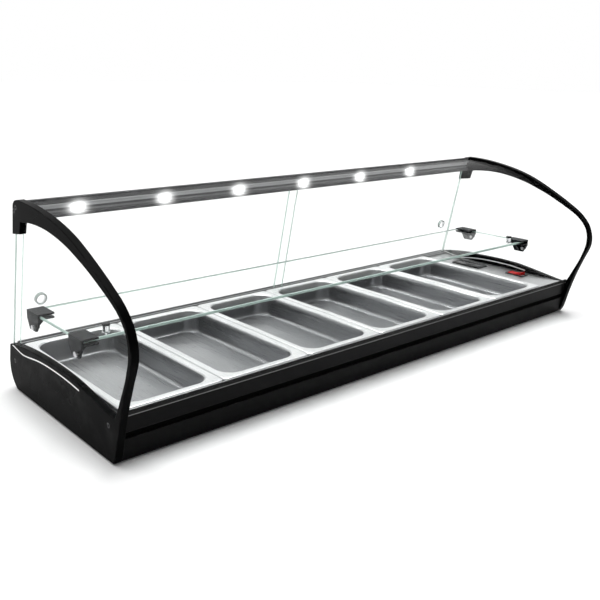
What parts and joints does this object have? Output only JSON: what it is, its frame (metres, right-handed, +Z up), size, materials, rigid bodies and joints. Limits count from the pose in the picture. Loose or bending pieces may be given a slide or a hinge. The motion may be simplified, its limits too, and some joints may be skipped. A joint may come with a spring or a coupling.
{
  "type": "refrigerated deli case",
  "caption": "Countertop refrigerated deli case with lift-out food pans under a curved front glass, a glass shelf, a light profile and sliding rear doors.",
  "frame": {"origin": "middle of the bounding box, on the counter under the rubber feet", "axes": "+X along the length towards the service deck and switch, +Y towards the operator and the rear doors, +Z up"},
  "size_m": [1.18, 0.4, 0.33],
  "materials": {
    "frame_black": "satin black",
    "inlay_white": "satin translucent white",
    "clear_glass": "clear with a green edge",
    "seal_rubber": "matt",
    "profile_grey": "anodised grey",
    "led_board_white": "white",
    "led_light": "clear lens over a white light",
    "bracket_grey": "dark grey satin",
    "screw_steel": "turned",
    "post_chrome": "polished",
    "plastic_black": "fine grain",
    "deck_steel": "brushed along the length",
    "fascia_black": "black anodised",
    "edge_trim": "bright",
    "tray_steel": "dark grey satin",
    "pan_steel": "drawn stainless",
    "plate_aluminium": "mill",
    "copper": "drawn copper tube",
    "foam": "cut foam",
    "brass": "turned",
    "drain_plastic": "grey",
    "rocker_red": "translucent red",
    "window_dark": "smoked",
    "key_grey": "matt"
  },
  "bodies": {
    "case": {"left_end_frame": "frame_black", "right_end_frame": "frame_black", "left_frame_inlay": "inlay_white", "right_frame_inlay": "inlay_white", "left_end_glass": "clear_glass", "right_end_glass": "clear_glass", "front_glass": "clear_glass", "front_glass_seal": "seal_rubber", "light_profile": "profile_grey", "led_board": "led_board_white", "led_modules": "led_light", "glass_shelf": "clear_glass", "bracket_front_left": "bracket_grey", "bracket_front_right": "bracket_grey", "bracket_rear_left": "bracket_grey", "bracket_rear_right": "bracket_grey", "bracket_screws": "screw_steel", "shelf_posts": "post_chrome", "shelf_post_caps": "plastic_black", "lower_door_track": "profile_grey", "deck_panel": "deck_steel", "front_lip": "deck_steel", "upper_fascia": "fascia_black", "lower_fascia": "fascia_black", "fascia_groove_strip": "plastic_black", "fascia_edge_trim": "edge_trim", "base_tray": "tray_steel", "rear_panel": "tray_steel", "connection_plate": "plastic_black", "mounting_blocks": "screw_steel", "cold_plate": "plate_aluminium", "evaporator_coil": "copper", "insulation": "foam", "line_fittings": "brass", "drain_spout": "drain_plastic", "cable_gland": "plastic_black", "led_driver": "led_board_white", "switch_housing": "plastic_black", "thermostat_bezel": "plastic_black", "thermostat_window": "window_dark", "thermostat_keys": "key_grey", "thermostat_body": "plastic_black", "rubber_feet": "seal_rubber", "end_frame_screws": "screw_steel"},
    "left_door": {"left_sliding_door": "clear_glass", "left_door_ring": "profile_grey"},
    "right_door": {"right_sliding_door": "clear_glass", "right_door_ring": "profile_grey"},
    "rocker": {"switch_rocker": "rocker_red"},
    "pan_1": {"gn_pan_1": "pan_steel"},
    "pan_2": {"gn_pan_2": "pan_steel"},
    "pan_3": {"gn_pan_3": "pan_steel"},
    "pan_4": {"gn_pan_4": "pan_steel"},
    "pan_5": {"gn_pan_5": "pan_steel"},
    "pan_6": {"gn_pan_6": "pan_steel"}
  },
  "joints": [
    {"name": "left_door_slide", "type": "slide", "parent": "case", "child": "left_door", "axis": [1, 0, 0], "range_m": [0, 0.56]},
    {"name": "right_door_slide", "type": "slide", "parent": "case", "child": "right_door", "axis": [-1, 0, 0], "range_m": [0, 0.56]},
    {"name": "switch_tilt", "type": "hinge", "parent": "case", "child": "rocker", "pos_m": [0.546, -0.049, 0.0705], "axis": [1, 0, 0], "range_deg": [0, 16]},
    {"name": "pan_1_lift", "type": "slide", "parent": "case", "child": "pan_1", "axis": [0, 0, 1], "range_m": [0, 0.021]},
    {"name": "pan_2_lift", "type": "slide", "parent": "case", "child": "pan_2", "axis": [0, 0, 1], "range_m": [0, 0.021]},
    {"name": "pan_3_lift", "type": "slide", "parent": "case", "child": "pan_3", "axis": [0, 0, 1], "range_m": [0, 0.021]},
    {"name": "pan_4_lift", "type": "slide", "parent": "case", "child": "pan_4", "axis": [0, 0, 1], "range_m": [0, 0.021]},
    {"name": "pan_5_lift", "type": "slide", "parent": "case", "child": "pan_5", "axis": [0, 0, 1], "range_m": [0, 0.021]},
    {"name": "pan_6_lift", "type": "slide", "parent": "case", "child": "pan_6", "axis": [0, 0, 1], "range_m": [0, 0.021]}
  ]
}
